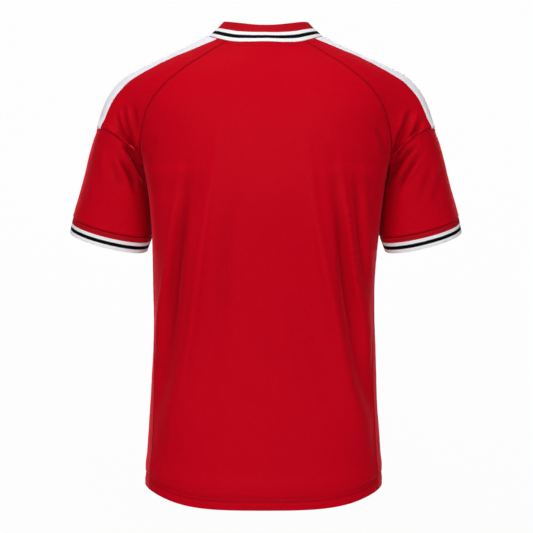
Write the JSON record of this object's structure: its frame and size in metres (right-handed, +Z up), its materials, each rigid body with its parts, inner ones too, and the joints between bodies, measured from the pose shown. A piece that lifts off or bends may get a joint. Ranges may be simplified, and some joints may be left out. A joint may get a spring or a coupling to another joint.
{
  "type": "football jersey",
  "caption": "Short-sleeved raglan football jersey with ribbed crew collar and cuffs, filled out as worn, with a curved hem and a light band along each shoulder.",
  "frame": {"origin": "midway between the two points where the collar crosses the shoulders, inside the neck opening, where the wearer's neck holds the shirt", "axes": "+Z up the body, +Y out of the wearer's chest, +X towards the wearer's right sleeve"},
  "size_m": [0.5898, 0.2431, 0.7128],
  "materials": {
    "red_knit": "fine polyester interlock knit with a soft satin sheen",
    "striped_rib": "matt rib knit, red with white, black and white stripes along its edge",
    "white_knit": "smooth white knit tape"
  },
  "bodies": {
    "root": {"back": "red_knit", "front": "red_knit", "shoulder_left": "red_knit", "shoulder_right": "red_knit", "sleeve_left": "red_knit", "sleeve_right": "red_knit", "cuff_left": "striped_rib", "cuff_right": "striped_rib", "collar": "striped_rib", "band_left": "white_knit", "band_right": "white_knit"}
  },
  "joints": []
}
